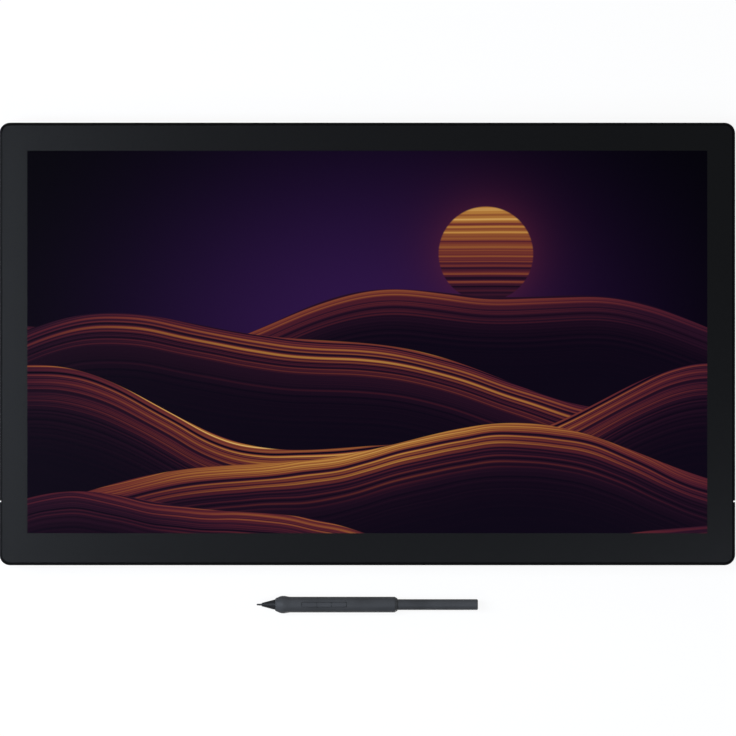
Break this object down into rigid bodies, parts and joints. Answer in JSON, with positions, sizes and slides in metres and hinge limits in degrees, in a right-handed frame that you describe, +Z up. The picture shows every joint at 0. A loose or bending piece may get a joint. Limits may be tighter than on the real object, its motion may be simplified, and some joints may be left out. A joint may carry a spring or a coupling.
{
  "type": "graphics tablet with screen",
  "caption": "Flat pen display tablet with glass front, bevelled back, fold-out legs, rear keys, port bay and arm mount threads, and its slim cordless stylus lying in front.",
  "frame": {"origin": "on the desk, under the middle of the box around the tablet and its pen", "axes": "+X to the user's right along the long side, +Y away from the user, +Z up out of the screen; the tablet lies flat with its legs folded"},
  "size_m": [0.515, 0.3436, 0.022],
  "materials": {
    "frame_metal": "fine matte charcoal paint on a cast metal frame",
    "cover_plastic": "fine spark-eroded texture",
    "cover_glass": "etched anti-glare glass with a dark printed border",
    "clear_adhesive": "clear optical adhesive and sealing tape",
    "display_cell": null,
    "white_film": "white",
    "clear_guide": "clear acrylic with a printed back",
    "black_plastic": "moulded",
    "circuit_board": "solder mask",
    "shield_metal": "foil",
    "chassis_metal": "bare pressed sheet",
    "zinc_steel": "zinc plated",
    "black_rubber": "matte",
    "chip_black": "moulded packages",
    "copper_pipe": "bare copper",
    "socket_steel": "nickel plated",
    "insert_brass": "turned",
    "flex_film": "amber film",
    "screw_black": "black zinc",
    "leg_plastic": "fine texture",
    "key_plastic": "satin",
    "pen_soft_grip": "soft slate grey coating",
    "pen_shaft_plastic": "satin slate grey",
    "pen_black": "satin",
    "pen_nib_plastic": "plain",
    "pen_key_plastic": "satin"
  },
  "bodies": {
    "tablet": {"front_frame": "frame_metal", "cover_glass": "cover_glass", "glass_adhesive": "clear_adhesive", "lcd_panel": "display_cell", "diffuser_films": "white_film", "light_guide": "clear_guide", "led_bar": "white_film", "panel_frame": "black_plastic", "digitizer_board": "circuit_board", "digitizer_shield": "shield_metal", "chassis_plate": "chassis_metal", "rear_cover": "cover_plastic", "vesa_bracket": "zinc_steel", "rubber_feet": "black_rubber", "leg_hinge_pins": "zinc_steel", "fan_housings": "black_plastic", "main_board": "circuit_board", "board_chips": "chip_black", "heat_spreader": "chassis_metal", "heat_pipes": "copper_pipe", "fin_stacks": "chassis_metal", "hdmi_socket": "socket_steel", "usb_c_sockets": "socket_steel", "key_boards": "circuit_board", "key_switches": "black_plastic", "edge_board": "circuit_board", "edge_switches": "socket_steel", "thread_inserts": "insert_brass", "flex_cables": "flex_film", "cover_screws": "screw_black", "inner_screws": "zinc_steel"},
    "left_leg": {"left_leg": "leg_plastic", "left_leg_tip": "black_rubber"},
    "right_leg": {"right_leg": "leg_plastic", "right_leg_tip": "black_rubber"},
    "left_fan": {"left_fan_rotor": "black_plastic"},
    "right_fan": {"right_fan_rotor": "black_plastic"},
    "left_key_1": {"left_key_1": "key_plastic"},
    "left_key_2": {"left_key_2": "key_plastic"},
    "left_key_3": {"left_key_3": "key_plastic"},
    "left_key_4": {"left_key_4": "key_plastic"},
    "right_key_1": {"right_key_1": "key_plastic"},
    "right_key_2": {"right_key_2": "key_plastic"},
    "right_key_3": {"right_key_3": "key_plastic"},
    "right_key_4": {"right_key_4": "key_plastic"},
    "power_button": {"power_button": "key_plastic"},
    "touch_slider": {"touch_slider": "key_plastic"},
    "pen": {"pen_grip": "pen_soft_grip", "pen_nose": "pen_black", "pen_shaft": "pen_shaft_plastic", "pen_carrier": "white_film", "pen_coil": "copper_pipe", "pen_load_cell": "socket_steel", "pen_board": "circuit_board", "pen_weight": "insert_brass"},
    "pen_nib": {"pen_nib": "pen_nib_plastic"},
    "pen_button_1": {"pen_button_1": "pen_key_plastic"},
    "pen_button_2": {"pen_button_2": "pen_key_plastic"},
    "pen_button_3": {"pen_button_3": "pen_key_plastic"}
  },
  "joints": [
    {"name": "left_leg_fold", "type": "hinge", "parent": "tablet", "child": "left_leg", "pos_m": [-0.185, 0.07692, 0.0048], "axis": [1, 0, 0], "range_deg": [0, 90]},
    {"name": "right_leg_fold", "type": "hinge", "parent": "tablet", "child": "right_leg", "pos_m": [0.185, 0.07692, 0.0048], "axis": [1, 0, 0], "range_deg": [0, 90]},
    {"name": "left_fan_spin", "type": "hinge", "parent": "tablet", "child": "left_fan", "pos_m": [-0.11, 0.11292, 0.01], "axis": [0, 0, 1], "continuous": true},
    {"name": "right_fan_spin", "type": "hinge", "parent": "tablet", "child": "right_fan", "pos_m": [0.11, 0.11292, 0.01], "axis": [0, 0, 1], "continuous": true},
    {"name": "left_key_1_press", "type": "slide", "parent": "tablet", "child": "left_key_1", "axis": [0.4648, 0, 0.8854], "range_m": [0, 0.0006], "stiffness_N_per_m": 500, "springref_m": -0.0004},
    {"name": "left_key_2_press", "type": "slide", "parent": "tablet", "child": "left_key_2", "axis": [0.4648, 0, 0.8854], "range_m": [0, 0.0006], "stiffness_N_per_m": 500, "springref_m": -0.0004},
    {"name": "left_key_3_press", "type": "slide", "parent": "tablet", "child": "left_key_3", "axis": [0.4648, 0, 0.8854], "range_m": [0, 0.0006], "stiffness_N_per_m": 500, "springref_m": -0.0004},
    {"name": "left_key_4_press", "type": "slide", "parent": "tablet", "child": "left_key_4", "axis": [0.4648, 0, 0.8854], "range_m": [0, 0.0006], "stiffness_N_per_m": 500, "springref_m": -0.0004},
    {"name": "right_key_1_press", "type": "slide", "parent": "tablet", "child": "right_key_1", "axis": [-0.4648, 0, 0.8854], "range_m": [0, 0.0006], "stiffness_N_per_m": 500, "springref_m": -0.0004},
    {"name": "right_key_2_press", "type": "slide", "parent": "tablet", "child": "right_key_2", "axis": [-0.4648, 0, 0.8854], "range_m": [0, 0.0006], "stiffness_N_per_m": 500, "springref_m": -0.0004},
    {"name": "right_key_3_press", "type": "slide", "parent": "tablet", "child": "right_key_3", "axis": [-0.4648, 0, 0.8854], "range_m": [0, 0.0006], "stiffness_N_per_m": 500, "springref_m": -0.0004},
    {"name": "right_key_4_press", "type": "slide", "parent": "tablet", "child": "right_key_4", "axis": [-0.4648, 0, 0.8854], "range_m": [0, 0.0006], "stiffness_N_per_m": 500, "springref_m": -0.0004},
    {"name": "power_button_press", "type": "slide", "parent": "tablet", "child": "power_button", "axis": [0, -1, 0], "range_m": [0, 0.0006], "stiffness_N_per_m": 500, "springref_m": -0.0004},
    {"name": "touch_slider_switch", "type": "slide", "parent": "tablet", "child": "touch_slider", "axis": [1, 0, 0], "range_m": [0, 0.003]},
    {"name": "pen_lift", "type": "slide", "parent": "tablet", "child": "pen", "axis": [0, 0, 1], "range_m": [0, 0.15]},
    {"name": "pen_nib_press", "type": "slide", "parent": "pen", "child": "pen_nib", "axis": [1, 0, 0], "range_m": [0, 0.001], "stiffness_N_per_m": 300, "springref_m": -0.0005},
    {"name": "pen_button_1_press", "type": "slide", "parent": "pen", "child": "pen_button_1", "axis": [0, 0, -1], "range_m": [0, 0.0004], "stiffness_N_per_m": 500, "springref_m": -0.0004},
    {"name": "pen_button_2_press", "type": "slide", "parent": "pen", "child": "pen_button_2", "axis": [0, 0, -1], "range_m": [0, 0.0004], "stiffness_N_per_m": 500, "springref_m": -0.0004},
    {"name": "pen_button_3_press", "type": "slide", "parent": "pen", "child": "pen_button_3", "axis": [0, 0, -1], "range_m": [0, 0.0004], "stiffness_N_per_m": 500, "springref_m": -0.0004}
  ]
}
